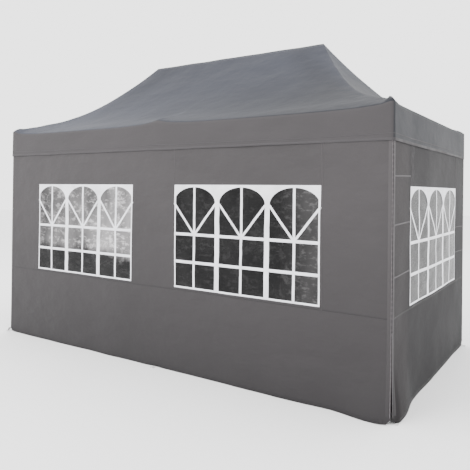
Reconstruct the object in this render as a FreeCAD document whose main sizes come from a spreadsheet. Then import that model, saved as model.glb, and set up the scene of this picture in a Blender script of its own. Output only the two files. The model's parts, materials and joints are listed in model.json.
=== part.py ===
import FreeCAD, Part
import math
import os

# Pop-up party tent, about 5.1 m long, 2.6 m wide and 3.5 m high, in millimetres.
# X runs along the length, Y across it, Z up. The floor is Z = 0.
# Six telescopic legs carry scissor trusses; a fabric roof and walls hang on them.
DIMENSIONS = {
    "leg_x": 2524,
    "leg_y": 1262,
    "tube": 32,
    "tube_wall": 1.5,
    "tube_low": 1030,
    "tube_top": 2545,
    "inner_tube": 27,
    "inner_wall": 2,
    "inner_top": 1400,
    "pivot_high": 2500,
    "pivot_low": 2080,
    "leg_offset": 45,
    "hub_offset": 90,
    "half_bay": 1217,
    "bar_depth": 25,
    "bar_thick": 12,
    "bar_wall": 1.2,
    "pin_radius": 4,
    "hole_radius": 4.5,
    "head_radius": 7,
    "head_thick": 2,
    "ball_radius": 8,
    "ear_gap": 16,
    "ear_thick": 3,
    "ear_reach": 58,
    "ear_tall": 48,
    "sleeve": 40,
    "slider": 42,
    "slider_bore": 33.2,
    "foot_side": 90,
    "foot_thick": 6,
    "foot_reach": 90,
    "foot_tongue": 44,
    "foot_socket": 46,
    "peg_offset": 75,
    "peg_radius": 6,
    "post": 24,
    "post_wall": 2,
    "post_top": 3506,
    "post_slot": 9,
    "slot_long": 900,
    "cap_radius": 20,
    "cap_thick": 8,
    "wall_x": 2564,
    "wall_y": 1302,
    "wall_thick": 2,
    "wall_low": 12,
    "wall_top": 2540,
    "sill": 862,
    "head": 1908,
    "left_window_start": -1992,
    "left_window_end": -361,
    "right_window_start": 251,
    "right_window_end": 1920,
    "end_window_start": -826,
    "end_window_end": 850,
    "pane_thick": 0.8,
    "roof_x": 2568,
    "roof_y": 1306,
    "cloth_step": 5,
    "valance_thick": 2,
    "valance_low": 2270,
    "eave": 2580,
    "low_ring": 2785,
    "low_ring_x": 2059,
    "low_ring_y": 813,
    "high_ring": 3107,
    "high_ring_x": 1631,
    "high_ring_y": 398,
    "ridge": 3540,
    "ridge_x": 1234,
    "ridge_y": 8,
}

doc = FreeCAD.newDocument("tent_on_poles")
sheet = doc.addObject("Spreadsheet::Sheet", "dim")
for row, (alias, value) in enumerate(DIMENSIONS.items(), start=1):
    sheet.set("A%d" % row, alias)
    sheet.set("B%d" % row, str(value))
    sheet.setAlias("B%d" % row, alias)
doc.recompute()

TILT = math.degrees(math.atan2(sheet.pivot_high - sheet.pivot_low, sheet.half_bay))
RISE = "(dim.pivot_high - dim.pivot_low)"
PITCH = "sqrt(dim.half_bay * dim.half_bay + " + RISE + " * " + RISE + ")"
MIDDLE = "(" + PITCH + ") / 2"
ABOUT_X = FreeCAD.Vector(1, 0, 0)
ABOUT_Y = FreeCAD.Vector(0, 1, 0)
ABOUT_Z = FreeCAD.Vector(0, 0, 1)
LAY = {
    "x": FreeCAD.Rotation(ABOUT_Y, 90),
    "y": FreeCAD.Rotation(ABOUT_X, -90),
    "z": FreeCAD.Rotation(ABOUT_X, 0),
}
nodes = []


def place(item, spot):
    for axis, text in zip("xyz", spot):
        item.setExpression("Placement.Base." + axis, str(text))
    return item


def block(low, size):
    """A box from its low corner; every entry is an expression of the sheet."""
    item = doc.addObject("Part::Box", "block")
    for name, text in zip(("Length", "Width", "Height"), size):
        item.setExpression(name, str(text))
    return place(item, low)


def centred(width, depth, low, high):
    """An upright box centred on the Z axis."""
    corner = ("-(%s) / 2" % width, "-(%s) / 2" % depth, low)
    return block(corner, (width, depth, "%s - (%s)" % (high, low)))


def rod(start, radius, length, along):
    item = doc.addObject("Part::Cylinder", "rod")
    item.Placement = FreeCAD.Placement(FreeCAD.Vector(), LAY[along])
    item.setExpression("Radius", str(radius))
    item.setExpression("Height", str(length))
    return place(item, start)


def cross_rod(where, low, high, radius):
    """A rod along Y between two sideways positions, at a place along a bar."""
    return rod((where, low, 0), radius, high - low, "y")


def ball(spot):
    item = doc.addObject("Part::Sphere", "ball")
    item.setExpression("Radius", "dim.ball_radius")
    return place(item, spot)


def slab(base, top, low, high):
    """A slanted plate between two level rectangles, each (x low, x high, y low, y high)."""
    item = doc.addObject("Part::Wedge", "slab")
    item.Placement = FreeCAD.Placement(FreeCAD.Vector(), FreeCAD.Rotation(ABOUT_X, 90))
    limits = {
        "Xmin": base[0],
        "Xmax": base[1],
        "Zmin": "-(%s)" % base[3],
        "Zmax": "-(%s)" % base[2],
        "X2min": top[0],
        "X2max": top[1],
        "Z2min": "-(%s)" % top[3],
        "Z2max": "-(%s)" % top[2],
        "Ymin": low,
        "Ymax": high,
    }
    for name, text in limits.items():
        item.setExpression(name, text)
    return item


def fuse(items):
    if len(items) == 1:
        return items[0]
    item = doc.addObject("Part::MultiFuse", "fuse")
    item.Shapes = items
    return item


def cut(base, tools):
    item = doc.addObject("Part::Cut", "cut")
    item.Base = base
    item.Tool = fuse(tools)
    return item


def gather(items):
    item = doc.addObject("Part::Compound", "group")
    item.Links = items
    return item


def finish(item, label, spot=(0, 0, 0), turn=0, tilt=0):
    """Name a finished sub-part and put it in its place in the tent."""
    turning = FreeCAD.Rotation(ABOUT_Z, turn).multiply(FreeCAD.Rotation(ABOUT_Y, tilt))
    item.Label = label
    item.Placement = FreeCAD.Placement(FreeCAD.Vector(*spot), turning)
    nodes.append(item)


def pin(where, low, high, heads="both"):
    """A rivet across the truss, with its heads."""
    items = [cross_rod(where, low, high, "dim.pin_radius")]
    thick = sheet.head_thick
    if heads in ("both", "low"):
        items.append(cross_rod(where, low, low + thick, "dim.head_radius"))
    if heads in ("both", "high"):
        items.append(cross_rod(where, high - thick, high, "dim.head_radius"))
    return items


def bar_blank(plane):
    """A flat bar with round ends; plane is its sideways position in the truss."""
    low = plane - sheet.bar_thick / 2
    high = plane + sheet.bar_thick / 2
    body = block((0, low, "-dim.bar_depth / 2"), (PITCH, "dim.bar_thick", "dim.bar_depth"))
    corner = (20, "%s + dim.bar_wall" % low, "dim.bar_wall - dim.bar_depth / 2")
    size = (PITCH + " - 40", "dim.bar_thick - 2 * dim.bar_wall", "dim.bar_depth - 2 * dim.bar_wall")
    body = cut(body, [block(corner, size)])
    ends = [cross_rod(where, low, high, "dim.bar_depth / 2") for where in (0, PITCH)]
    return [body] + ends


def hook():
    """An open eye that holds the ball end of a truss pin."""
    ring = rod((0, -7, 0), "dim.ball_radius * 2", 22, "y")
    bore = rod((0, -8, 0), "dim.ball_radius + 0.5", 23, "y")
    mouth = block((-20, -8, -5), (25, 23, 25))
    return cut(ring, [bore, mouth])


def bar(label, spot, turn, tilt, plane, solids, holes):
    solid = fuse(bar_blank(plane) + solids)
    if holes:
        tools = [cross_rod(where, plane - 8, plane + 8, "dim.hole_radius") for where in holes]
        solid = cut(solid, tools)
    finish(solid, label, spot, turn, tilt)


def truss_spots(origin, turn, offset):
    """The four bars' starting pivots: upper, lower, then the same half a bay on."""
    angle = math.radians(turn)
    spots = []
    for along in (offset, offset + sheet.half_bay):
        x = origin[0] + along * math.cos(angle)
        y = origin[1] + along * math.sin(angle)
        spots.append((x, y, sheet.pivot_high))
        spots.append((x, y, sheet.pivot_low))
    return spots


def side_truss(name, origin, turn, inward=0):
    """Four bars between two legs. inward is the side of a middle hub, if it has one."""
    first_high, first_low, second_high, second_low = truss_spots(origin, turn, sheet.leg_offset)
    joint_low = pin(PITCH, -16, 17.5)
    joint_high = pin(0, -16, 17.5)
    if inward > 0:
        joint_low = pin(PITCH, -16, 90, "low") + [ball((PITCH, 90, 0))]
        joint_high = pin(0, -16, 48, "low")
    if inward < 0:
        joint_low = pin(PITCH, -90, 17.5, "high") + [ball((PITCH, -90, 0))]
        joint_high = pin(0, -48, 17.5, "high")
    cross = pin(MIDDLE, -16, 17.5)
    bar("bar_%s_1" % name, first_high, turn, TILT, -8, pin(0, -22, 22) + cross + joint_low, [])
    bar("bar_%s_2" % name, first_low, turn, -TILT, 8, [], [0, MIDDLE, PITCH])
    cross = pin(MIDDLE, -16, 17.5)
    bar("bar_%s_3" % name, second_high, turn, TILT, -8, joint_high + cross + pin(PITCH, -22, 22), [])
    bar("bar_%s_4" % name, second_low, turn, -TILT, 8, [], [0, MIDDLE, PITCH])


def ridge_truss(name, origin, turn, carries_middle):
    """Four bars from an end hub to the tent's middle, in two planes beside the post."""
    first_high, first_low, second_high, second_low = truss_spots(origin, turn, sheet.hub_offset)
    pins = pin(0, -29, 15.5) + pin(MIDDLE, -29, 30.5) + pin(PITCH, -29, 30.5)
    bar("bar_%s_1" % name, first_high, turn, TILT, -21, pins, [])
    bar("bar_%s_2" % name, first_low, turn, -TILT, 21, [hook()], [MIDDLE, PITCH])
    pins = pin(0, -29, 30.5) + pin(MIDDLE, -29, 30.5)
    if carries_middle:
        bar("bar_%s_3" % name, second_high, turn, TILT, -21, pins + pin(PITCH, -29, 30.5), [])
        bar("bar_%s_4" % name, second_low, turn, -TILT, 21, pin(PITCH, -30.5, 29), [0, MIDDLE])
    else:
        bar("bar_%s_3" % name, second_high, turn, TILT, -21, pins, [PITCH])
        bar("bar_%s_4" % name, second_low, turn, -TILT, 21, [], [0, MIDDLE, PITCH])


def ears(side, height, root):
    """Two plates that hold a truss pin beside a leg; side is the direction of the bay."""
    low = "%s - dim.ear_tall / 2" % height
    reach = "dim.ear_reach - (%s)" % root
    plates = []
    for near in ("dim.ear_gap", "-dim.ear_gap - dim.ear_thick"):
        corners = {
            "+x": ((root, near, low), (reach, "dim.ear_thick", "dim.ear_tall")),
            "-x": (("-dim.ear_reach", near, low), (reach, "dim.ear_thick", "dim.ear_tall")),
            "+y": ((near, root, low), ("dim.ear_thick", reach, "dim.ear_tall")),
            "-y": ((near, "-dim.ear_reach", low), ("dim.ear_thick", reach, "dim.ear_tall")),
        }
        plates.append(block(*corners[side]))
    return plates


def ear_pin(side, height, radius, half):
    """A rod across the two plates: the hub's own pin, or the hole for a bar's pin."""
    sign = "-" if side[0] == "-" else ""
    offset = sign + "dim.leg_offset"
    if side[1] == "x":
        return rod((offset, -half, height), radius, 2 * half, "y")
    return rod((-half, offset, height), radius, 2 * half, "x")


def bracket(sleeve, sides, height, root):
    """A sleeve with a pair of plates per bay; sides maps a direction to pin or hole."""
    solids = [sleeve]
    holes = []
    for side, kind in sides.items():
        solids += ears(side, height, root)
        if kind == "pin":
            solids.append(ear_pin(side, height, "dim.pin_radius", 19))
        else:
            holes.append(ear_pin(side, height, "dim.hole_radius", 24))
    solid = fuse(solids)
    if holes:
        solid = cut(solid, holes)
    return solid


def square_tube(size, wall, low, high):
    outer = centred(size, size, low, high)
    inside = "%s - 2 * %s" % (size, wall)
    return cut(outer, [centred(inside, inside, "%s - 1" % low, "%s + 1" % high)])


def upper_leg(label, spot, sides):
    """The outer tube with its lower collar and its top hub."""
    tube = square_tube("dim.tube", "dim.tube_wall", "dim.tube_low", "dim.tube_top")
    collar = centred("dim.sleeve", "dim.sleeve", "dim.tube_low - 6", "dim.tube_low + 44")
    collar = cut(collar, [centred("dim.tube", "dim.tube", "dim.tube_low - 7", "dim.tube_low + 45")])
    sleeve = centred("dim.sleeve", "dim.sleeve", "dim.pivot_high - 40", "dim.tube_top + 6")
    sleeve = cut(sleeve, [centred("dim.tube", "dim.tube", "dim.pivot_high - 41", "dim.tube_top")])
    opened = {side: ("pin" if kind == "far" else "hole") for side, kind in sides.items()}
    hub = bracket(sleeve, opened, "dim.pivot_high", "dim.sleeve / 2 - 1")
    finish(gather([tube, collar, hub]), label, spot)


def slider(label, spot, sides):
    """The sliding bracket that the lower truss pins pull along the leg."""
    low = "dim.pivot_low - 26"
    high = "dim.pivot_low + 34"
    sleeve = centred("dim.slider", "dim.slider", low, high)
    bore = centred("dim.slider_bore", "dim.slider_bore", low + " - 1", high + " + 1")
    sleeve = cut(sleeve, [bore])
    opened = {side: ("hole" if kind == "far" else "pin") for side, kind in sides.items()}
    finish(bracket(sleeve, opened, "dim.pivot_low", "dim.slider / 2 - 1"), label, spot)


def lower_leg(label, spot, outward):
    """The inner tube with a foot plate; outward is the direction of the peg hole."""
    tube = square_tube("dim.inner_tube", "dim.inner_wall", "dim.foot_thick", "dim.inner_top")
    socket = centred("dim.inner_tube + 8", "dim.inner_tube + 8", "dim.foot_thick", "dim.foot_socket")
    socket = cut(socket, [centred("dim.inner_tube", "dim.inner_tube", "dim.foot_thick - 1", "dim.foot_socket + 1")])
    plate = centred("dim.foot_side", "dim.foot_side", 0, "dim.foot_thick")
    side = "-dim.foot_tongue / 2"
    lengthways = ("dim.foot_reach", "dim.foot_tongue", "dim.foot_thick")
    crossways = ("dim.foot_tongue", "dim.foot_reach", "dim.foot_thick")
    tongue = {
        "+x": ((0, side, 0), lengthways),
        "-x": (("-dim.foot_reach", side, 0), lengthways),
        "+y": ((side, 0, 0), crossways),
        "-y": ((side, "-dim.foot_reach", 0), crossways),
    }[outward]
    sign = "-" if outward[0] == "-" else ""
    away = sign + "dim.peg_offset"
    centre = (away, 0, -1) if outward[1] == "x" else (0, away, -1)
    hole = rod(centre, "dim.peg_radius", "dim.foot_thick + 2", "z")
    foot = cut(fuse([plate, block(*tongue)]), [hole])
    finish(gather([tube, socket, foot]), label, spot)


def end_hub(label, spot, turn):
    """The bracket at the middle of an end truss that starts the ridge truss."""
    boss = rod((20, 0, 0), 11, 32, "x")
    body = block((50, -12, -13), (54, 24, 26))
    blind = rod((19, 0, 0), "dim.hole_radius", 33, "x")
    across = rod(("dim.hub_offset", -13, 0), "dim.hole_radius", 26, "y")
    finish(cut(fuse([boss, body]), [blind, across]), label, spot, turn)


def peak_post(label, spot):
    """The slotted post that pushes up a peak of the roof."""
    low = "-30"
    high = "dim.post_top - dim.pivot_low"
    tube = square_tube("dim.post", "dim.post_wall", low, high)
    foot_hole = rod((0, -15, 0), "dim.hole_radius", 30, "y")
    slot_low = ("-dim.post_slot / 2", -15, RISE + " - 20")
    slot = block(slot_low, ("dim.post_slot", 30, "dim.slot_long"))
    cap = rod((0, 0, high), "dim.cap_radius", "dim.cap_thick", "z")
    finish(gather([cut(tube, [foot_hole, slot]), cap]), label, spot)


def wall(label, width, low_edge, windows, along, outer):
    """A fabric wall with clear panes; windows are (start, end) along its length."""
    sign = -1 if outer[0] == "-" else 1
    face = outer if sign < 0 else outer + " - dim.wall_thick"
    pane_face = "%s + (dim.wall_thick - dim.pane_thick) / 2" % face
    tall = "dim.wall_top - dim.wall_low"
    glazed = "dim.head - dim.sill"
    if along == "x":
        sheet_part = block((low_edge, face, "dim.wall_low"), (width, "dim.wall_thick", tall))
    else:
        sheet_part = block((face, low_edge, "dim.wall_low"), ("dim.wall_thick", width, tall))
    openings = []
    panes = []
    for start, end in windows:
        run = "%s - %s" % (end, start)
        if along == "x":
            openings.append(block((start, face, "dim.sill"), (run, "dim.wall_thick", glazed)))
            panes.append(block((start, pane_face, "dim.sill"), (run, "dim.pane_thick", glazed)))
        else:
            openings.append(block((face, start, "dim.sill"), ("dim.wall_thick", run, glazed)))
            panes.append(block((pane_face, start, "dim.sill"), ("dim.pane_thick", run, glazed)))
    if openings:
        finish(gather([cut(sheet_part, openings)] + panes), label)
    else:
        finish(sheet_part, label)


def roof_side(lower, upper, side):
    """One of the four plates between two rings of the roof, each (x, y, z)."""
    outlines = []
    for x, y in (lower[:2], upper[:2]):
        inner_x = x + " - dim.cloth_step"
        inner_y = y + " - dim.cloth_step"
        outlines.append({
            "front": ("-" + x, x, "-" + y, "-(" + inner_y + ")"),
            "back": ("-" + x, x, inner_y, y),
            "right": (inner_x, x, "-(" + inner_y + ")", inner_y),
            "left": ("-" + x, "-(" + inner_x + ")", "-(" + inner_y + ")", inner_y),
        }[side])
    return slab(outlines[0], outlines[1], lower[2], upper[2])


def valance():
    """The four upright strips below the eave."""
    tall = "dim.eave - dim.valance_low"
    long_side = ("2 * dim.roof_x", "dim.valance_thick", tall)
    short_side = ("dim.valance_thick", "2 * (dim.roof_y - dim.valance_thick)", tall)
    far_x = "dim.roof_x - dim.valance_thick"
    far_y = "dim.roof_y - dim.valance_thick"
    return [
        block(("-dim.roof_x", "-dim.roof_y", "dim.valance_low"), long_side),
        block(("-dim.roof_x", far_y, "dim.valance_low"), long_side),
        block(("-dim.roof_x", "-(" + far_y + ")", "dim.valance_low"), short_side),
        block((far_x, "-(" + far_y + ")", "dim.valance_low"), short_side),
    ]


def canopy(label):
    """The fabric roof, concave from eave to ridge, with its valance."""
    rings = [
        ("dim.roof_x", "dim.roof_y", "dim.eave"),
        ("dim.low_ring_x", "dim.low_ring_y", "dim.low_ring"),
        ("dim.high_ring_x", "dim.high_ring_y", "dim.high_ring"),
        ("dim.ridge_x", "dim.ridge_y", "dim.ridge"),
    ]
    plates = valance()
    for lower, upper in zip(rings[:-1], rings[1:]):
        for side in ("front", "back", "right", "left"):
            plates.append(roof_side(lower, upper, side))
    gap = "dim.ridge_y - dim.cloth_step"
    run = "dim.ridge_x - dim.cloth_step"
    corner = ("-(" + run + ")", "-(" + gap + ")", "dim.ridge - 3")
    plates.append(block(corner, ("2 * (" + run + ")", "2 * (" + gap + ")", 3)))
    finish(gather(plates), label)


def build_frame():
    x = sheet.leg_x
    y = sheet.leg_y
    legs = {
        "front_middle": ((0, -y, 0), {"+x": "near", "-x": "near"}, "-y"),
        "front_right": ((x, -y, 0), {"-x": "far", "+y": "near"}, "+x"),
        "front_left": ((-x, -y, 0), {"+x": "far", "+y": "near"}, "-x"),
        "back_right": ((x, y, 0), {"-y": "far", "-x": "near"}, "+x"),
        "back_left": ((-x, y, 0), {"-y": "far", "+x": "near"}, "-x"),
        "back_middle": ((0, y, 0), {"+x": "far", "-x": "far"}, "+y"),
    }
    for name, (spot, sides, outward) in legs.items():
        upper_leg("leg_" + name, spot, sides)
        slider("slider_" + name, spot, sides)
        lower_leg("lower_leg_" + name, spot, outward)
    side_truss("front_right", (0, -y), 0)
    side_truss("front_left", (0, -y), 180)
    side_truss("end_right", (x, -y), 90, 1)
    side_truss("end_left", (-x, -y), 90, -1)
    side_truss("back_right", (x, y), 180)
    side_truss("back_left", (-x, y), 0)
    post_along = x - sheet.hub_offset - sheet.half_bay
    for side, sign, turn in (("right", 1, 180), ("left", -1, 0)):
        end_hub("end_hub_" + side, (sign * x, 0, sheet.pivot_high), turn)
        ridge_truss("ridge_" + side, (sign * x, 0), turn, side == "right")
        peak_post("peak_post_" + side, (sign * post_along, 0, sheet.pivot_low))


def build_fabric():
    canopy("canopy")
    left_window = ("dim.left_window_start", "dim.left_window_end")
    right_window = ("dim.right_window_start", "dim.right_window_end")
    end_window = ("dim.end_window_start", "dim.end_window_end")
    long_windows = [left_window, right_window]
    long_width = "2 * dim.wall_x"
    wall("front_wall", long_width, "-dim.wall_x", long_windows, "x", "-dim.wall_y")
    wall("back_wall", long_width, "-dim.wall_x", long_windows, "x", "dim.wall_y")
    short_low = "-dim.wall_y + dim.wall_thick + 1"
    short_width = "2 * dim.wall_y - 2 * dim.wall_thick - 2"
    wall("right_wall", short_width, short_low, [end_window], "y", "dim.wall_x")
    half_width = "dim.wall_y - dim.wall_thick - 2"
    wall("door_flap_front", half_width, short_low, [], "y", "-dim.wall_x")
    wall("door_flap_back", half_width, "1", [], "y", "-dim.wall_x")


def export_nodes():
    for item in doc.Objects:
        states = getattr(item, "State", [])
        if "Invalid" in states or "Error" in states:
            raise RuntimeError("%s did not build" % item.Label)
    for item in nodes:
        if item.Shape.isNull() or not item.Shape.isValid():
            raise RuntimeError("%s has a bad shape" % item.Label)
    os.makedirs("parts", exist_ok=True)
    for item in nodes:
        item.Shape.exportStep("parts/%s.step" % item.Label)


build_frame()
build_fabric()
doc.recompute()
export_nodes()
print("%d sub-parts written" % len(nodes))
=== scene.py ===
import json
import math
import bmesh
import bpy
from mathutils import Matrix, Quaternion, Vector, noise

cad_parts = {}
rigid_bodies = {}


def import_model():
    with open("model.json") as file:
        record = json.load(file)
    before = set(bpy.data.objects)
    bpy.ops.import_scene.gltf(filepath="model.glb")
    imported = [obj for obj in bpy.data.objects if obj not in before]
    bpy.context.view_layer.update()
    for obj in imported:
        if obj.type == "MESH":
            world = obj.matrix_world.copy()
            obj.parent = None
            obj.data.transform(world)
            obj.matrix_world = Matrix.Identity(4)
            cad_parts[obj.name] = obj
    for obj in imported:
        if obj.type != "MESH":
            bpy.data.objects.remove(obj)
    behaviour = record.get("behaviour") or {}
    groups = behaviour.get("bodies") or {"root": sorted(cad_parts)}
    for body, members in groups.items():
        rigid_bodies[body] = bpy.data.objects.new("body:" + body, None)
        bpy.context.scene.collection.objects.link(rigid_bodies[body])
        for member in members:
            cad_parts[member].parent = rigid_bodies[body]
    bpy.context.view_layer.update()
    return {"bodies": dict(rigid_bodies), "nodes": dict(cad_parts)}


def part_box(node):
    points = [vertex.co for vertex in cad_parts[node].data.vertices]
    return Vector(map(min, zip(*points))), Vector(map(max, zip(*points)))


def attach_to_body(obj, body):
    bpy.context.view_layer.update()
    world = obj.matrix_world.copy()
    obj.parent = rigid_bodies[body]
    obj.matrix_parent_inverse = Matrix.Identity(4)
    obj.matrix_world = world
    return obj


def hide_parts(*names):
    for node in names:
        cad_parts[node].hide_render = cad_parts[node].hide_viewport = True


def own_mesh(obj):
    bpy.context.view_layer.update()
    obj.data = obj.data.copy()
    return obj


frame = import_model()

# ---------------------------------------------------------------- sizes, all from the frame, in metres
WALL_LOW, WALL_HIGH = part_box("front_wall")
ROOF_LOW, ROOF_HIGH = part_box("canopy")
END_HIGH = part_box("right_wall")[1]
FLAP_LOW, FLAP_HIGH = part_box("door_flap_front")
POST_LOW, POST_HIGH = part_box("peak_post_right")
LEG_LOW, LEG_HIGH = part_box("leg_front_right")
HALF_LONG = WALL_HIGH[0]
HALF_WIDE = -WALL_LOW[1]
WALL_HEAD = WALL_HIGH[2]
ROOF_X = ROOF_HIGH[0]
ROOF_Y = ROOF_HIGH[1]
VALANCE_FOOT = ROOF_LOW[2]
RIDGE = ROOF_HIGH[2]
EAVE = VALANCE_FOOT + 0.31
PEAK_X = (POST_LOW[0] + POST_HIGH[0]) / 2 + 0.065
LEG_X = LEG_HIGH[0] - 0.020
LEG_Y = -(LEG_LOW[1] + 0.020)

# ---------------------------------------------------------------- windows, in metres up and along a wall
SILL = 0.862
HEAD = 1.908
LONG_WINDOWS = ((-1.992, -0.361), (0.251, 1.920))
SHORT_WINDOWS = ((-0.826, 0.850),)
BAYS = 2.9


def ramp(value, low, high):
    """0 below low, 1 above high and a smooth step between."""
    share = min(max((value - low) / (high - low), 0.0), 1.0)
    return share * share * (3 - 2 * share)


def bell(value, width):
    return math.exp(-(value / width) ** 2)


def wave(x, y, z, size, seed=0.0):
    """Smooth noise from -1 to 1 with features of about the given size."""
    return noise.noise(Vector((x / size + seed, y / size - seed, z / size + 2 * seed)))


# ---------------------------------------------------------------- materials
def new_material(name):
    material = bpy.data.materials.new(name)
    material.use_nodes = True
    tree = material.node_tree
    shader = tree.nodes["Principled BSDF"]
    return material, tree, shader


def add(tree, kind, **values):
    """A node with its properties and numbered or named inputs set."""
    node = tree.nodes.new(kind)
    for key, value in values.items():
        if key.startswith("in_"):
            name = key[3:]
            node.inputs[int(name) if name.isdigit() else name.replace("_", " ")].default_value = value
        else:
            setattr(node, key, value)
    return node


def link(tree, source, target):
    tree.links.new(source, target)


def math_node(tree, operation, first, second=None, third=None):
    node = add(tree, "ShaderNodeMath", operation=operation)
    for index, value in enumerate((first, second, third)):
        if value is None:
            continue
        if isinstance(value, (int, float)):
            node.inputs[index].default_value = value
        else:
            link(tree, value, node.inputs[index])
    return node.outputs[0]


def mix_colour(tree, share, first, second):
    """A mix of two colours, each a tuple or a socket, by a socket's value."""
    node = add(tree, "ShaderNodeMix", data_type="RGBA")
    link(tree, share, node.inputs[0])
    for slot, value in ((6, first), (7, second)):
        if isinstance(value, tuple):
            node.inputs[slot].default_value = (*value, 1.0)
        else:
            link(tree, value, node.inputs[slot])
    return node.outputs[2]


def object_place(tree):
    """The rest position of the surface, as separate X, Y and Z."""
    place = add(tree, "ShaderNodeTexCoord").outputs["Object"]
    parts = add(tree, "ShaderNodeSeparateXYZ")
    link(tree, place, parts.inputs[0])
    return place, parts.outputs


def cloud(tree, place, scale, detail=3.0, stretch=None, rough=0.5):
    """Noise from 0 to 1 in object space; stretch scales X, Y and Z."""
    if stretch:
        mapping = add(tree, "ShaderNodeMapping")
        mapping.inputs["Scale"].default_value = stretch
        link(tree, place, mapping.inputs["Vector"])
        place = mapping.outputs[0]
    texture = add(tree, "ShaderNodeTexNoise", in_Scale=scale, in_Detail=detail, in_Roughness=rough)
    link(tree, place, texture.inputs["Vector"])
    return texture.outputs["Fac"]


def between(tree, value, low, high, start=0.0, end=1.0):
    node = add(tree, "ShaderNodeMapRange", in_1=low, in_2=high, in_3=start, in_4=end)
    link(tree, value, node.inputs[0])
    return node.outputs[0]


def weave(tree, parts, along, up, pitch):
    """The fine ribs of a plain-woven cloth along two axes."""
    turn = 2 * math.pi / pitch
    first = math_node(tree, "SINE", math_node(tree, "MULTIPLY", parts[along], turn))
    second = math_node(tree, "SINE", math_node(tree, "MULTIPLY", parts[up], turn))
    return math_node(tree, "MULTIPLY", first, second)


def shaded_towards_floor(tree, base, parts, foot):
    """The base colour with painted shade towards the floor, darker low down; foot is what is left of it
    there.
    """
    fall = between(tree, parts[2], 0.0, 1.7)
    shade = mix_colour(tree, fall, (foot, foot, foot * 1.02), (1.0, 1.0, 1.0))
    node = add(tree, "ShaderNodeMix", data_type="RGBA", blend_type="MULTIPLY", in_0=1.0)
    link(tree, base, node.inputs[6])
    link(tree, shade, node.inputs[7])
    return node.outputs[2]


def end_share(tree, parts):
    """1 on the tent's right end face and 0 on the other faces."""
    return between(tree, parts[0], ROOF_X - 0.007, ROOF_X - 0.003)


def strip_share(tree, parts):
    """1 behind the front strip of the end wall, 0 on the strip beside the corner."""
    return between(tree, parts[1], -0.92, -0.84)


def painted_hip_light_and_shade(tree, parts):
    """Painted light and shade on the roof: a painted highlight along the tensioned hips, painted shade in the
    hollow beside them, painted shade low over the walled end and a painted highlight low towards the left
    end.
    """
    x = math_node(tree, "ABSOLUTE", parts[0])
    y = math_node(tree, "ABSOLUTE", parts[1])
    hip = math_node(tree, "MULTIPLY_ADD", y, (ROOF_X - PEAK_X) / ROOF_Y, PEAK_X)
    beside = math_node(tree, "SUBTRACT", x, hip)
    from_hip = math_node(tree, "ABSOLUTE", math_node(tree, "ADD", beside, 0.03))
    ridge = between(tree, from_hip, 0.01, 0.13, 1.0, 0.0)
    hip_highlight = math_node(tree, "MULTIPLY", ridge, between(tree, parts[2], RIDGE - 0.12, RIDGE - 0.45))
    hip_highlight = math_node(tree, "MULTIPLY", hip_highlight, between(tree, parts[2], EAVE + 0.08, EAVE + 0.30))
    from_hollow = math_node(tree, "ABSOLUTE", math_node(tree, "ADD", beside, 0.30))
    hollow = between(tree, from_hollow, 0.02, 0.30, 1.0, 0.0)
    hollow = math_node(tree, "MULTIPLY", hollow, between(tree, parts[2], EAVE + 0.15, RIDGE - 0.25))
    low = between(tree, parts[2], EAVE + 0.20, EAVE + 0.75, 1.0, 0.0)
    low = math_node(tree, "MULTIPLY", low, between(tree, parts[0], -1.6, 1.7, -0.22, 0.52))
    # painted highlight on the hips, painted shade in the hollows and low on the right, painted highlight low
    # on the left
    tone = math_node(tree, "MULTIPLY_ADD", hip_highlight, 0.20, 1.0)
    tone = math_node(tree, "MULTIPLY_ADD", hollow, -0.20, tone)
    return math_node(tree, "SUBTRACT", tone, low)


def cloth_material(name, light, dark, along=0, up=2, foot=1.0, crease=1.0, gloss=0.22, part=None, other=None):
    """Coated woven polyester: weave, faint folds, and painted shade that darkens it towards the floor."""
    material, tree, shader = new_material(name)
    place, parts = object_place(tree)
    blotch = cloud(tree, place, 0.8, 3.0)
    fine = cloud(tree, place, 140.0, 2.0)
    base = mix_colour(tree, between(tree, blotch, 0.35, 0.68), dark, light)
    if other:
        base = mix_colour(tree, part(tree, parts), base, other)
    # painted shade towards the floor
    base = shaded_towards_floor(tree, base, parts, foot)
    tone = add(tree, "ShaderNodeHueSaturation")
    value = between(tree, fine, 0.3, 0.7, 0.95, 1.04)
    # with part given and no other colour, part scales the value: on the roof, its painted highlights and
    # painted shade
    if part and not other:
        value = math_node(tree, "MULTIPLY", value, part(tree, parts))
    link(tree, value, tone.inputs["Value"])
    link(tree, base, tone.inputs["Color"])
    link(tree, tone.outputs[0], shader.inputs["Base Color"])
    link(tree, between(tree, blotch, 0.3, 0.7, 0.60, 0.72), shader.inputs["Roughness"])
    shader.inputs["Specular IOR Level"].default_value = gloss
    shader.inputs["Sheen Weight"].default_value = 0.02
    shader.inputs["Sheen Roughness"].default_value = 0.5
    ribs = weave(tree, parts, along, up, 0.0042)
    creases = cloud(tree, place, 2.2, 3.0, (1.0, 1.0, 1.7), 0.5)
    creases_fine = cloud(tree, place, 11.0, 3.0, (1.0, 1.0, 0.6), 0.5)
    folds = math_node(tree, "MULTIPLY", creases, 0.060 * crease)
    folds = math_node(tree, "MULTIPLY_ADD", creases_fine, 0.0045 * crease, folds)
    total = math_node(tree, "MULTIPLY_ADD", ribs, 0.00014, folds)
    bump = add(tree, "ShaderNodeBump", in_Strength=0.55, in_Distance=1.0)
    link(tree, total, bump.inputs["Height"])
    link(tree, bump.outputs[0], shader.inputs["Normal"])
    return material


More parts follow.
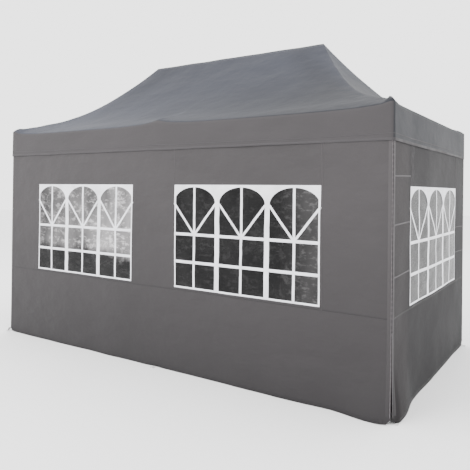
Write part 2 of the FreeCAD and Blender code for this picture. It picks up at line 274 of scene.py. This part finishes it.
def hem_material(name, colour, stitch, along=0, pitch=0.009, foot=1.0):
    """Turned and stitched edge tape: a run of short pale or dark stitches along one axis."""
    material, tree, shader = new_material(name)
    place, parts = object_place(tree)
    share = math_node(tree, "FRACT", math_node(tree, "DIVIDE", parts[along], pitch))
    dash = math_node(tree, "LESS_THAN", share, 0.6)
    blotch = cloud(tree, place, 9.0, 3.0)
    base = mix_colour(tree, between(tree, blotch, 0.3, 0.7), tuple(c * 0.88 for c in colour), colour)
    base = mix_colour(tree, math_node(tree, "MULTIPLY", dash, 0.45), base, stitch)
    # painted shade towards the floor, as on the walls
    link(tree, shaded_towards_floor(tree, base, parts, foot), shader.inputs["Base Color"])
    link(tree, between(tree, blotch, 0.3, 0.7, 0.55, 0.70), shader.inputs["Roughness"])
    shader.inputs["Specular IOR Level"].default_value = 0.2
    bump = add(tree, "ShaderNodeBump", in_Strength=0.5, in_Distance=1.0)
    height = math_node(tree, "MULTIPLY", dash, -0.0004)
    link(tree, math_node(tree, "MULTIPLY_ADD", blotch, 0.002, height), bump.inputs["Height"])
    link(tree, bump.outputs[0], shader.inputs["Normal"])
    return material


def long_glare_mask(tree, place, parts):
    """Where the long walls' vinyl carries painted reflection: most of the left window, little of the right.
    """
    ragged = math_node(tree, "MULTIPLY_ADD", cloud(tree, place, 3.0, 4.0), 0.30, parts[2])
    left = between(tree, parts[0], -0.30, -0.10, 1.0, 0.0)
    left = math_node(tree, "MULTIPLY", left, between(tree, parts[0], -2.0, -0.6, 0.42, 1.0))
    left = math_node(tree, "MULTIPLY", left, between(tree, ragged, 1.24, 1.34, 0.05, 1.0))
    right = between(tree, parts[0], 1.45, 1.80, 0.030, 0.13)
    return math_node(tree, "MAXIMUM", left, right)


def end_glare_mask(tree, place, parts):
    """Painted reflection on the end wall's vinyl, more of it in its far bay."""
    return between(tree, parts[1], 0.1, 0.7, 0.34, 0.72)


def pane_material(name, inside_shade, glare, glare_by_place, wrinkle=0.006):
    """Clear sheet vinyl, dark and nearly opaque as painted shade of the dim inside, with painted reflection
    over parts of it that breaks into painted highlights on the creases where it has been folded.
    """
    material, tree, shader = new_material(name)
    place, parts = object_place(tree)
    creases = cloud(tree, place, 17.0, 6.0, (0.7, 0.7, 1.3), 0.70)
    broad = cloud(tree, place, 4.0, 3.0, (1.0, 1.0, 0.5))
    # painted highlights where the creases catch the painted reflection
    crease_glints = between(tree, creases, 0.50, 0.72, 0.0, 0.9)
    painted_glare = math_node(tree, "ADD", between(tree, broad, 0.30, 0.70, 0.16, 0.50), crease_glints)
    painted_glare = math_node(tree, "MULTIPLY", painted_glare, glare_by_place(tree, place, parts))
    # painted shade of the dim inside, mixed with painted reflection where the glare mask is
    link(tree, mix_colour(tree, painted_glare, inside_shade, glare), shader.inputs["Base Color"])
    link(tree, between(tree, creases, 0.3, 0.7, 0.16, 0.34), shader.inputs["Roughness"])
    shader.inputs["Alpha"].default_value = 0.955
    shader.inputs["Specular IOR Level"].default_value = 0.09
    ripple = cloud(tree, place, 9.0, 4.0, (0.5, 0.5, 1.9), 0.55)
    bump = add(tree, "ShaderNodeBump", in_Strength=0.7, in_Distance=1.0)
    link(tree, math_node(tree, "MULTIPLY", ripple, wrinkle), bump.inputs["Height"])
    link(tree, bump.outputs[0], shader.inputs["Normal"])
    return material


def print_material():
    """White ink on the vinyl, a little uneven."""
    material, tree, shader = new_material("window_print")
    place = object_place(tree)[0]
    blotch = cloud(tree, place, 7.0, 4.0)
    link(tree, mix_colour(tree, between(tree, blotch, 0.3, 0.7), (0.62, 0.62, 0.65), (0.80, 0.80, 0.84)),
         shader.inputs["Base Color"])
    link(tree, between(tree, blotch, 0.3, 0.7, 0.3, 0.45), shader.inputs["Roughness"])
    bump = add(tree, "ShaderNodeBump", in_Strength=0.3, in_Distance=1.0)
    link(tree, math_node(tree, "MULTIPLY", blotch, 0.01), bump.inputs["Height"])
    link(tree, bump.outputs[0], shader.inputs["Normal"])
    return material


def painted_material(name, colour, worn, rough=0.38):
    """Powder-coated steel with faint orange peel and a few rubbed places."""
    material, tree, shader = new_material(name)
    place = object_place(tree)[0]
    blotch = cloud(tree, place, 6.0, 5.0)
    scuff = cloud(tree, place, 55.0, 3.0, (1.0, 1.0, 0.25))
    rubbed = between(tree, math_node(tree, "MULTIPLY", blotch, scuff), 0.33, 0.42)
    link(tree, mix_colour(tree, rubbed, colour, worn), shader.inputs["Base Color"])
    link(tree, between(tree, scuff, 0.3, 0.7, rough - 0.06, rough + 0.12), shader.inputs["Roughness"])
    shader.inputs["Specular IOR Level"].default_value = 0.5
    peel = cloud(tree, place, 420.0, 2.0)
    bump = add(tree, "ShaderNodeBump", in_Strength=0.25, in_Distance=1.0)
    link(tree, math_node(tree, "MULTIPLY", peel, 0.0006), bump.inputs["Height"])
    link(tree, bump.outputs[0], shader.inputs["Normal"])
    return material


def floor_material():
    material, tree, shader = new_material("floor")
    place = object_place(tree)[0]
    blotch = cloud(tree, place, 0.6, 3.0)
    link(tree, mix_colour(tree, blotch, (0.86, 0.86, 0.865), (0.90, 0.90, 0.90)), shader.inputs["Base Color"])
    shader.inputs["Roughness"].default_value = 0.9
    return material


# ---------------------------------------------------------------- mesh helpers
def mesh_object(name, points, faces, material, smooth=True):
    mesh = bpy.data.meshes.new(name)
    mesh.from_pydata([tuple(p) for p in points], [], faces)
    mesh.validate()
    mesh.update()
    mesh.materials.append(material)
    mesh.polygons.foreach_set("use_smooth", [smooth] * len(mesh.polygons))
    item = bpy.data.objects.new(name, mesh)
    bpy.context.scene.collection.objects.link(item)
    return item


def grid_faces(columns, rows, keep=None):
    """Quads of a grid whose points are listed row by row."""
    faces = []
    for row in range(rows - 1):
        for column in range(columns - 1):
            if keep is None or keep(column, row):
                start = row * columns + column
                faces.append((start, start + 1, start + columns + 1, start + columns))
    return faces


def stops(marks, step):
    """Places from the first mark to the last that hold every mark, about a step apart."""
    places = []
    for low, high in zip(marks[:-1], marks[1:]):
        count = max(1, round((high - low) / step))
        places += [low + (high - low) * i / count for i in range(count)]
    return places + [marks[-1]]


# ---------------------------------------------------------------- walls
class Wall:
    """One hanging wall: along runs to the right seen from outside, out is its outward normal."""

    def __init__(self, name, origin, along, out, half, windows, seed, flares=(0.010, 0.010)):
        self.name = name
        self.origin = Vector(origin)
        self.along = Vector(along)
        self.out = Vector(out)
        self.half = half
        self.windows = windows
        self.seed = seed
        self.flares = flares

    def bulge(self, a, z):
        """How far the cloth stands out of its flat plane."""
        depth = 0.010 * wave(a, 0, z * 0.35, 0.75, self.seed)
        depth += 0.005 * wave(a, 0, z, 0.33, self.seed + 7)
        low = ramp(0.9 - z, 0.0, 0.9)
        depth += 0.012 * low * wave(a, 0, 0, 0.45, self.seed + 3)
        edge = ramp(self.half - abs(a), 0.0, 0.25)
        inside = [ramp(a, s - 0.05, s + 0.25) * ramp(-a, -e - 0.05, -e + 0.25) for s, e in self.windows]
        glazed = max(inside + [0])
        glazed *= ramp(z, SILL - 0.1, SILL + 0.2) * ramp(-z, -HEAD - 0.1, -HEAD + 0.2)
        depth += 0.004 * glazed * wave(a, 0, z * 1.8, 0.16, self.seed + 11)
        depth *= 0.25 + 0.75 * edge
        return depth * (0.35 + 0.65 * ramp(WALL_HEAD - z, 0.15, 0.7))

    def flare(self, a, z):
        """How far a loose bottom corner spreads over its foot plate."""
        size = self.flares[0] if a < 0 else self.flares[1]
        inner = ramp(abs(a), self.half - 0.60, self.half - 0.16)
        outer = 1 - 0.80 * ramp(abs(a), self.half - 0.09, self.half)
        return size * inner * outer * ramp(0.50 - z, 0.0, 0.46)

    def point(self, a, z, lift=0.0):
        depth = self.bulge(a, z) + self.flare(a, z) + lift
        return self.origin + self.along * a + Vector((0, 0, z)) + self.out * depth

    def foot(self, a):
        """Height of the bottom edge: a slight scallop, with rounded corners."""
        radius = 0.035
        over = radius - (self.half - abs(a))
        rise = radius - math.sqrt(max(radius * radius - over * over, 0.0)) if over > 0 else 0.0
        over_plate = max(bell(abs(a) - self.half, 0.12), bell(a, 0.09))
        return 0.001 + rise + 0.006 * over_plate + 0.001 * (1 + wave(a, 0, 0, 0.5, self.seed + 5))

    def strip(self, path, width, lift):
        """Points and faces of a tape that follows a path of (a, z) points on the cloth."""
        points = []
        for index, (a, z) in enumerate(path):
            before = path[max(index - 1, 0)]
            after = path[min(index + 1, len(path) - 1)]
            run = Vector((after[0] - before[0], after[1] - before[1])).normalized()
            side = Vector((-run.y, run.x)) * width / 2
            for share, height in ((1, 0.0), (0.8, lift), (-0.8, lift), (-1, 0.0)):
                points.append(self.point(a + side.x * share, z + side.y * share, 0.0004 + height))
        return points, grid_faces(4, len(path))


def build_tab(material):
    """The pale webbing tab that runs out from the front wall's left corner, above the floor."""
    points = []
    for step in range(13):
        share = step / 12
        x = -HALF_LONG + 0.016 - 0.060 * share
        z = 0.004 + 0.046 * (1 - share) ** 2.2
        for side, proud in ((-1, 0.0), (-0.8, 0.002), (0.8, 0.002), (1, 0.0)):
            points.append((x, -HALF_WIDE - 0.022 + 0.017 * side, z + proud))
    return mesh_object("front_wall_tab", points, grid_faces(4, 13), material)


def join_strips(name, strips, material):
    points, faces = [], []
    for some_points, some_faces in strips:
        start = len(points)
        points += some_points
        faces += [tuple(index + start for index in face) for face in some_faces]
    return mesh_object(name, points, faces, material)


def line(first, last, step=0.05):
    """Evenly spaced (a, z) points from first to last."""
    gap = math.dist(first, last)
    count = max(2, round(gap / step))
    return [(first[0] + (last[0] - first[0]) * i / count, first[1] + (last[1] - first[1]) * i / count)
            for i in range(count + 1)]


EDGE_ROW = 0.12


def build_cloth(wall, material):
    """The wall's sheet, open at its windows; below EDGE_ROW its rows close up to the bottom edge."""
    marks = [-wall.half]
    for start, end in wall.windows:
        marks += [start, end]
    columns = stops(marks + [wall.half], 0.035)
    rows = stops([0.0, EDGE_ROW, SILL, HEAD, WALL_HEAD], 0.035)
    points = []
    for z in rows:
        for a in columns:
            foot = wall.foot(a)
            height = foot + (EDGE_ROW - foot) * z / EDGE_ROW if z < EDGE_ROW else z
            points.append(wall.point(a, height))

    def solid(column, row):
        middle = ((columns[column] + columns[column + 1]) / 2, (rows[row] + rows[row + 1]) / 2)
        inside = any(s < middle[0] < e for s, e in wall.windows)
        return not (inside and SILL < middle[1] < HEAD)

    return mesh_object(wall.name + "_cloth", points, grid_faces(len(columns), len(rows), solid), material)


def build_panes(wall, material):
    parts = []
    for start, end in wall.windows:
        columns = stops([start - 0.004, end + 0.004], 0.02)
        rows = stops([SILL - 0.004, HEAD + 0.004], 0.02)
        points = [wall.point(a, z, -0.0012) for z in rows for a in columns]
        parts.append((points, grid_faces(len(columns), len(rows))))
    return join_strips(wall.name + "_panes", parts, material)


# window print, as shares of the window's height from its top
SPRING = 0.178
FIRST_RAIL = 0.477
SECOND_RAIL = 0.744
ARCH_TOP = 0.022
THIN_BAR = 0.026
WIDE_BAR = 0.054
RAIL = 0.028


def build_print(wall, material):
    """Three arched bays a window, with bars, rails and two rays from each crossing."""
    tall = HEAD - SILL
    strips = []

    def height(share):
        return HEAD - tall * share

    def tape(first, last, width, lift):
        strips.append(wall.strip(line(first, last, 0.03), width, lift))

    for start, end in wall.windows:
        bay = (end - start) / BAYS
        middle = (start + end) / 2
        for index in range(3):
            centre = middle + (index - 1) * bay
            left = max(centre - bay / 2, start)
            right = min(centre + bay / 2, end)
            radius_a = bay / 2 - WIDE_BAR / 2 + 0.004
            radius_z = tall * (SPRING - ARCH_TOP)
            tape((centre, height(ARCH_TOP)), (centre, SILL), THIN_BAR, 0.0003)
            for side, edge in ((-1, left), (1, right)):
                spring = (centre + side * radius_a, height(SPRING))
                tape(spring, (centre, height(FIRST_RAIL)), THIN_BAR * 0.9, 0.0006)
                arch = []
                for step in range(15):
                    a = centre + side * radius_a * math.sin(math.pi / 2 * step / 14)
                    arch.append((a, height(SPRING) + radius_z * math.cos(math.pi / 2 * step / 14)))
                arch.append((edge, height(SPRING)))
                points = []
                for a, low in arch:
                    for share in (0, 0.33, 0.67, 1):
                        points.append(wall.point(a, low + (HEAD - low) * share, 0.0017))
                strips.append((points, grid_faces(4, len(arch))))
            if index < 2:
                tape((centre + bay / 2, height(0.03)), (centre + bay / 2, SILL), WIDE_BAR, 0.0009)
        for side, edge in ((1, start), (-1, end)):
            tape((edge + side * 0.008, HEAD), (edge + side * 0.008, SILL), 0.016, 0.0009)
        for share in (FIRST_RAIL, SECOND_RAIL):
            tape((start, height(share)), (end, height(share)), RAIL, 0.0012)
        tape((start, SILL + 0.008), (end, SILL + 0.008), 0.018, 0.0012)
        tape((start, HEAD - 0.010), (end, HEAD - 0.010), 0.020, 0.0012)
    return join_strips(wall.name + "_print", strips, material)


def build_hems(wall, tape_across, tape_up, pipe):
    """Bottom and side hems, the seam at sill level and the seams beside the last window."""
    span = wall.half - 0.004
    bottom = [(a, wall.foot(a) + 0.020) for a in stops([-span + 0.05, span - 0.05], 0.04)]
    across = [
        wall.strip(bottom, 0.034, 0.0012),
        wall.strip(line((-span, SILL - 0.022), (span, SILL - 0.022)), 0.014, 0.0012),
    ]
    first = join_strips(wall.name + "_hems", across, tape_across)
    up = []
    for start, end in wall.windows[-1:]:
        for a in (start - 0.012, end + 0.006, end + 0.020):
            up.append(wall.strip(line((a, SILL - 0.03), (a, WALL_HEAD)), 0.007, 0.0012))
    for side in (-1, 1):
        a = side * (span - 0.022)
        up.append(wall.strip(line((a, 0.07), (a, WALL_HEAD)), 0.030, 0.0014))
    second = join_strips(wall.name + "_side_hems", up, tape_up)
    edges = []
    for side in (-1, 1):
        a = side * (span - 0.003)
        edges.append(wall.strip(line((a, 0.06), (a, WALL_HEAD)), 0.006, 0.0026))
    third = join_strips(wall.name + "_piping", edges, pipe)
    return [first, second, third]


def build_straps(wall, material):
    """Sewn-on webbing between the short window and the corners, and the pucker above it."""
    start, end = wall.windows[0]
    edge = wall.half - 0.03
    strips = []
    for z in (1.986, 1.589, 1.165):
        strips.append(wall.strip(line((-edge, z), (start - 0.01, z + 0.012)), 0.012, 0.0016))
    for z in (1.464, 1.174):
        strips.append(wall.strip(line((end + 0.01, z), (edge, z - 0.010)), 0.009, 0.0016))
    for offset in (0.0, 0.035):
        path = []
        for step in range(17):
            z = WALL_HEAD - 0.27 - 0.022 * step
            path.append((start + 0.03 + offset + 0.016 * math.sin(step * 0.75), z))
        strips.append(wall.strip(path, 0.008, 0.0014))
    return join_strips(wall.name + "_straps", strips, material)


# ---------------------------------------------------------------- roof
# steps of the sheet along the front, the right end, the back and the left end
PER_SIDE = (150, 76, 150, 76)


def crown(t):
    """Height share of the roof from ridge (t = 0) to eave (t = 1): concave, steep at the ridge."""
    return (1 - t) ** 1.68 + 0.8 * t ** 6 * (1 - t)


def roof_point(t, side, s):
    """A point on the roof ring t; side is 0 front, 1 right, 2 back, 3 left and s runs -1 to 1."""
    half_x = PEAK_X + t * (ROOF_X - PEAK_X) - 0.020 * math.sin(math.pi * t)
    half_y = t * ROOF_Y
    x, y = ((s * half_x, -half_y), (half_x, s * half_y), (-s * half_x, half_y), (-half_x, -s * half_y))[side]
    z = EAVE + (RIDGE - EAVE) * crown(t)
    return x, y, z


def eave_sag(side, s):
    """How far the eave hangs below the legs that hold it up."""
    long_side = side in (0, 2)
    half = ROOF_X if long_side else ROOF_Y
    gap = half - abs(s) * half
    if long_side:
        gap = min(gap, abs(s) * half * 1.15)
    return (0.044 if long_side else 0.010) * (1 - math.exp(-gap / (0.24 if long_side else 0.10)))


def leg_poke(x, y):
    """The bump where a leg's top pushes the roof up, sharpest at the front right corner."""
    corner = math.dist((abs(x), abs(y)), (LEG_X, LEG_Y))
    middle = math.dist((abs(x), abs(y)), (0.0, LEG_Y))
    height, width = ((0.036, 0.040) if x > 0 else (0.026, 0.060)) if y < 0 else (0.010, 0.040)
    return height * bell(corner, width) + 0.006 * bell(middle, 0.14)


def roof_relief(x, y, z, t, side, s):
    """Sag between hips and towards the eave, with tension creases near the corners."""
    mid = 1 - s * s
    drop = -0.016 * mid * math.sin(math.pi * min(t, 1.0)) ** 1.2
    drop -= eave_sag(side, s) * ramp(t, 0.42, 1.0)
    corner = ramp(abs(s), 0.35, 1.0) * ramp(t, 0.3, 0.95)
    calm = 1 - ramp(t, 0.9, 1.0)
    drop += 0.008 * corner * wave(x, y, 0, 0.16, 2.0) * calm
    drop += 0.009 * wave(x, y, 0, 0.7, 4.0) * ramp(t, 0.05, 0.3) * calm
    drop += 0.004 * wave(x, y, 0, 0.28, 9.0) * calm
    return drop


def build_roof(top_cloth, side_cloth):
    """One continuous sheet: the hip roof from ridge to eave, then the valance down to its hem."""
    roof_rings = 46
    valance_rings = 12
    points = []
    total = sum(PER_SIDE)
    for ring in range(roof_rings + valance_rings + 1):
        for side, count in enumerate(PER_SIDE):
            for step in range(count):
                s = -1 + 2 * step / count
                t = min(ring / roof_rings, 1.0)
                x, y, z = roof_point(t, side, s)
                if ring <= roof_rings:
                    z += roof_relief(x, y, z, t, side, s) + leg_poke(x, y)
                    points.append((x, y, z))
                    continue
                down = (ring - roof_rings) / valance_rings
                points.append(valance_point(x, y, side, s, down))
    faces = []
    for ring in range(roof_rings + valance_rings):
        for step in range(total):
            after = (step + 1) % total
            start = ring * total
            faces.append((start + after, start + step, start + total + step, start + total + after))
    item = mesh_object("canopy_sheet", points, faces, top_cloth)
    item.data.materials.append(side_cloth)
    for face in item.data.polygons[roof_rings * total:]:
        face.material_index = 1
    tidy = bmesh.new()
    tidy.from_mesh(item.data)
    bmesh.ops.remove_doubles(tidy, verts=tidy.verts, dist=0.0008)
    bmesh.ops.recalc_face_normals(tidy, faces=tidy.faces)
    tidy.to_mesh(item.data)
    tidy.free()
    return item


def valance_wave(x, y, side, s, down):
    """How far the valance waves out of its plane, down being 0 at the eave and 1 at the hem."""
    along = x if side in (0, 2) else y
    middle = bell(along, 0.07) if side in (0, 2) else 0.0
    out = 0.007 * wave(along, side, down * 0.6, 0.32, 5.0) * (0.35 + 0.65 * down)
    out += 0.006 * middle * (1 - down)
    return out * ramp(1 - abs(s), 0.0, 0.05) + 0.003 * down


def valance_point(x, y, side, s, down, lift=0.0):
    normal = ((0, -1), (1, 0), (0, 1), (-1, 0))[side]
    out = valance_wave(x, y, side, s, down) + lift
    along = x if side in (0, 2) else y
    top = EAVE - eave_sag(side, s) + leg_poke(x, y)
    foot = VALANCE_FOOT + 0.004 * wave(along, side, 0, 0.4, 12.0)
    return (x + normal[0] * out, y + normal[1] * out, top + (foot - top) * down)


def valance_tape(name, low, high, lift, material):
    """A tape right round the valance between two shares of its depth."""
    turn_in = 0.1 * (high - low)
    rows = ((low, 0.0004), (low + turn_in, lift), (high - turn_in, lift), (high, 0.0004))
    points = []
    total = sum(PER_SIDE)
    for down, proud in rows:
        for side, count in enumerate(PER_SIDE):
            for step in range(count):
                s = -1 + 2 * step / count
                x, y, z = roof_point(1.0, side, s)
                points.append(valance_point(x, y, side, s, down, proud))
    faces = []
    for row in range(3):
        for step in range(total):
            after = (step + 1) % total
            faces.append((row * total + after, row * total + step, (row + 1) * total + step,
                          (row + 1) * total + after))
    return mesh_object(name, points, faces, material)


# ---------------------------------------------------------------- assemble
WALL_LIGHT, WALL_DARK = (0.0400, 0.0366, 0.0381), (0.0325, 0.0297, 0.0309)
# the end walls are the long walls' cloth painted darker: painted shade of the end faces, which face away from
# the light
SHADED_END_LIGHT, SHADED_END_DARK = (0.0300, 0.0270, 0.0280), (0.0235, 0.0212, 0.0220)
SKIRT_LIGHT, SKIRT_DARK = (0.0390, 0.0357, 0.0375), (0.0320, 0.0293, 0.0308)
ROOF_LIGHT, ROOF_DARK = (0.0300, 0.0322, 0.0420), (0.0222, 0.0240, 0.0322)
TAPE = (0.0395, 0.0365, 0.0380)
# how much of the wall colour is left at the floor under the painted shade
WALL_FLOOR_SHADE = 0.56

# the roof's value carries painted highlights and painted shade along its hips and low corners
roof_cloth = cloth_material("roof_cloth", ROOF_LIGHT, ROOF_DARK, 0, 1, crease=0.8, gloss=0.16, part=painted_hip_light_and_shade)
# on the right end face the valance takes a darker colour: painted shade of that face
skirt_cloth = cloth_material("valance_cloth", SKIRT_LIGHT, SKIRT_DARK, 0, 2, crease=0.5,
                             part=end_share, other=(0.0165, 0.0172, 0.0205))
long_cloth = cloth_material("long_wall_cloth", WALL_LIGHT, WALL_DARK, 0, 2, WALL_FLOOR_SHADE)
# the end wall behind its front strip takes a darker colour still: more painted shade of the end face
short_cloth = cloth_material("end_wall_cloth", SHADED_END_LIGHT, SHADED_END_DARK, 1, 2, WALL_FLOOR_SHADE, 0.35, 0.08,
                             part=strip_share, other=(0.0205, 0.0195, 0.0205))
hem_long = hem_material("hem_long", TAPE, (0.016, 0.015, 0.016), 0, foot=WALL_FLOOR_SHADE)
# the end hem takes the painted-shade colour of the end cloth
hem_short = hem_material("hem_end", SHADED_END_LIGHT, (0.012, 0.012, 0.012), 1, foot=WALL_FLOOR_SHADE)
hem_up = hem_material("hem_upright", (0.044, 0.0405, 0.042), (0.066, 0.061, 0.063), 2, foot=WALL_FLOOR_SHADE)
hem_roof = hem_material("hem_roof", (0.0345, 0.0318, 0.0335), (0.058, 0.055, 0.058), 0)
strap = hem_material("pale_strap", (0.070, 0.065, 0.068), (0.045, 0.042, 0.044), 1, 0.012)
tab_webbing = hem_material("tab_webbing", (0.42, 0.41, 0.41), (0.30, 0.29, 0.29), 0, 0.006)
piping = hem_material("pale_piping", (0.110, 0.101, 0.104), (0.050, 0.046, 0.048), 2, 0.045)
# the pale colours of the panes are painted reflection, the dark ones painted shade of the inside
long_pane = pane_material("long_window_vinyl", (0.0020, 0.0020, 0.0022), (0.50, 0.485, 0.49), long_glare_mask)
short_pane = pane_material("end_window_vinyl", (0.0080, 0.0080, 0.0085), (0.20, 0.20, 0.20), end_glare_mask)
white_print = print_material()

front = Wall("front_wall", (0, -HALF_WIDE, 0), (1, 0, 0), (0, -1, 0), HALF_LONG, LONG_WINDOWS, 1.3,
             (0.004, 0.042))
back = Wall("back_wall", (0, HALF_WIDE, 0), (-1, 0, 0), (0, 1, 0), HALF_LONG,
            tuple((-e, -s) for s, e in reversed(LONG_WINDOWS)), 5.1)
right = Wall("right_wall", (END_HIGH[0], 0, 0), (0, 1, 0), (1, 0, 0), END_HIGH[1], SHORT_WINDOWS, 8.7,
             (0.050, 0.006))
FLAP_HALF = (FLAP_HIGH[1] - FLAP_LOW[1]) / 2
FLAP_MIDDLE = (FLAP_HIGH[1] + FLAP_LOW[1]) / 2
flap_front = Wall("door_flap_front", (FLAP_LOW[0], FLAP_MIDDLE, 0), (0, -1, 0), (-1, 0, 0),
                  FLAP_HALF, (), 3.9)
flap_back = Wall("door_flap_back", (FLAP_LOW[0], -FLAP_MIDDLE, 0), (0, -1, 0), (-1, 0, 0),
                 FLAP_HALF, (), 6.2)

# the cloth gathers between these heights, all of it within this reach of a foot
GATHER_TOP = 0.96
GATHER_FOOT = 0.016
FOOT_REACH = 0.13


def hook_to(item, name, target, share):
    """Let part of the cloth follow a moving point; share gives each vertex's part of its motion."""
    group = item.vertex_groups.new(name=name)
    for vertex in item.data.vertices:
        group.add([vertex.index], min(max(share(vertex.co), 0.0), 1.0), "REPLACE")
    modifier = item.modifiers.new(name, "HOOK")
    modifier.object = target
    modifier.vertex_group = name
    modifier.falloff_type = "NONE"
    modifier.matrix_inverse = target.matrix_world.inverted() @ item.matrix_world


def lift_point(place, body):
    """An empty that goes with a wall's body but rises with one foot."""
    carrier = frame["bodies"][body]
    foot = frame["bodies"]["lower_leg_" + place]
    empty = bpy.data.objects.new("lift_%s_%s" % (place, body), None)
    bpy.context.scene.collection.objects.link(empty)
    empty.parent = carrier
    empty.matrix_parent_inverse = carrier.matrix_world.inverted()
    rise = empty.constraints.new("COPY_LOCATION")
    rise.target = foot
    rise.use_x = False
    rise.use_y = False
    bpy.context.view_layer.update()
    return empty


def gather_up(items, body, feet):
    """The cloth below the sill gathers as the feet beside it rise; feet gives each one's X and Y."""
    for place, spot in feet.items():
        empty = lift_point(place, body)
        others = [other for name, other in feet.items() if name != place]

        def share(co, spot=spot, others=others):
            low = 1 - max(co.z - GATHER_FOOT, 0.0) / (GATHER_TOP - GATHER_FOOT)
            if not others:
                return low
            near = min(math.dist(spot, other) for other in others)
            beside = (near - math.dist(spot, (co.x, co.y))) / (near - FOOT_REACH)
            return low * min(max(beside, 0.0), 1.0)

        for item in items:
            hook_to(item, "lift_" + place, empty, share)


def attach(items, body):
    """Let pieces of wall cloth go with a body, each with its own mesh."""
    for item in items:
        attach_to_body(item, body)
        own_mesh(item)


def hang_wall(wall, body, node, cloth, tape, vinyl, feet):
    """Make one wall with its panes, print and hems, and tie it to its body."""
    sheet = build_cloth(wall, cloth)
    extras = build_hems(wall, tape, hem_up, piping)
    if wall.windows:
        extras += [build_panes(wall, vinyl), build_print(wall, white_print)]
    if node == "right_wall":
        extras.append(build_straps(wall, strap))
    if node == "front_wall":
        extras.append(build_tab(tab_webbing))
    pieces = [sheet] + extras
    attach(pieces, body)
    bpy.context.view_layer.update()
    gather_up(pieces, body, {place: FEET[place] for place in feet})
    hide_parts(node)


FEET = {
    "front_left": (-LEG_X, -LEG_Y),
    "front_middle": (0.0, -LEG_Y),
    "front_right": (LEG_X, -LEG_Y),
    "back_left": (-LEG_X, LEG_Y),
    "back_middle": (0.0, LEG_Y),
    "back_right": (LEG_X, LEG_Y),
}
hang_wall(front, "leg_front_middle", "front_wall", long_cloth, hem_long, long_pane,
          ("front_left", "front_middle", "front_right"))
hang_wall(back, "leg_back_middle", "back_wall", long_cloth, hem_long, long_pane,
          ("back_left", "back_middle", "back_right"))
hang_wall(right, "end_hub_right", "right_wall", short_cloth, hem_short, short_pane,
          ("front_right", "back_right"))
hang_wall(flap_front, "door_flap_front", "door_flap_front", short_cloth, hem_short, short_pane,
          ("front_left",))
hang_wall(flap_back, "door_flap_back", "door_flap_back", short_cloth, hem_short, short_pane,
          ("back_left",))

roof = build_roof(roof_cloth, skirt_cloth)
valance_hem = valance_tape("canopy_hem", 0.92, 1.0, 0.0016, hem_roof)
valance_seam = valance_tape("canopy_seam", 0.80, 0.825, 0.0012, hem_roof)
canopy_pieces = [roof, valance_hem, valance_seam]
for item in canopy_pieces:
    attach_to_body(item, "leg_front_middle")
    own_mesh(item)
bpy.context.view_layer.update()
for item in canopy_pieces:
    hook_to(item, "towards_front", frame["bodies"]["leg_back_middle"],
            lambda co: (co.y + LEG_Y) / (2 * LEG_Y))
    hook_to(item, "peaks_down", frame["bodies"]["slider_front_middle"],
            lambda co: (co.z - EAVE) / (RIDGE - EAVE))
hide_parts("canopy")

# ---------------------------------------------------------------- carried-over frame parts
tube_paint = painted_material("tube_paint", (0.62, 0.62, 0.64), (0.42, 0.42, 0.43))
bar_paint = painted_material("bar_paint", (0.50, 0.50, 0.52), (0.33, 0.33, 0.34))
bracket_plastic = painted_material("bracket_plastic", (0.030, 0.030, 0.032), (0.06, 0.06, 0.06), 0.5)
foot_metal = painted_material("foot_metal", (0.60, 0.60, 0.60), (0.40, 0.39, 0.38), 0.35)
for name, node in frame["nodes"].items():
    paint = bar_paint
    if name.startswith("leg_"):
        paint = tube_paint
    if name.startswith("lower_leg"):
        paint = foot_metal
    if name.startswith(("slider", "end_hub")):
        paint = bracket_plastic
    for index in range(max(1, len(node.material_slots))):
        if node.material_slots:
            node.material_slots[index].material = paint
        else:
            node.data.materials.append(paint)

# ---------------------------------------------------------------- stage, camera and light
floor = mesh_object("floor", [(-40, -40, 0), (40, -40, 0), (40, 40, 0), (-40, 40, 0)], [(0, 1, 2, 3)],
                    floor_material(), False)

camera_data = bpy.data.cameras.new("camera")
camera = bpy.data.objects.new("camera", camera_data)
bpy.context.scene.collection.objects.link(camera)
bpy.context.scene.camera = camera
CAMERA = dict(x=3.930, y=-5.302, z=1.849, yaw=0.5402, pitch=0.0044, roll=0.0111,
              focal=519.1, cx=282.0, cy=189.4)
IMAGE = 470.0
forward = Vector((-math.sin(CAMERA["yaw"]) * math.cos(CAMERA["pitch"]),
                  math.cos(CAMERA["yaw"]) * math.cos(CAMERA["pitch"]), math.sin(CAMERA["pitch"])))
camera.location = (CAMERA["x"], CAMERA["y"], CAMERA["z"])
camera.rotation_mode = "QUATERNION"
look = forward.to_track_quat("-Z", "Y")
camera.rotation_quaternion = look @ Quaternion((0, 0, 1), CAMERA["roll"])
camera_data.sensor_width = 36.0
camera_data.lens = CAMERA["focal"] / IMAGE * 36.0
camera_data.shift_x = -(CAMERA["cx"] - IMAGE / 2) / IMAGE
camera_data.shift_y = (CAMERA["cy"] - IMAGE / 2) / IMAGE


def area_light(name, spot, target, size, power, colour=(1, 1, 1)):
    data = bpy.data.lights.new(name, "AREA")
    data.size = size
    data.energy = power
    data.color = colour
    lamp = bpy.data.objects.new(name, data)
    lamp.location = spot
    lamp.rotation_mode = "QUATERNION"
    lamp.rotation_quaternion = (Vector(target) - Vector(spot)).to_track_quat("-Z", "Y")
    bpy.context.scene.collection.objects.link(lamp)


area_light("key", (-3.0, -9.0, 8.0), (0, 0, 1.5), 6.0, 900)
area_light("fill", (9.0, -3.0, 6.0), (0, 0, 1.5), 6.0, 60)
area_light("top", (0.0, 2.0, 10.0), (0, 0, 2.0), 7.0, 250)
area_light("back", (-4.0, 9.0, 6.0), (0, 0, 1.5), 6.0, 200)

world = bpy.data.worlds.new("studio")
world.use_nodes = True
world.node_tree.nodes["Background"].inputs[0].default_value = (1.0, 1.0, 1.0, 1.0)
world.node_tree.nodes["Background"].inputs[1].default_value = 3.0
bpy.context.scene.world = world
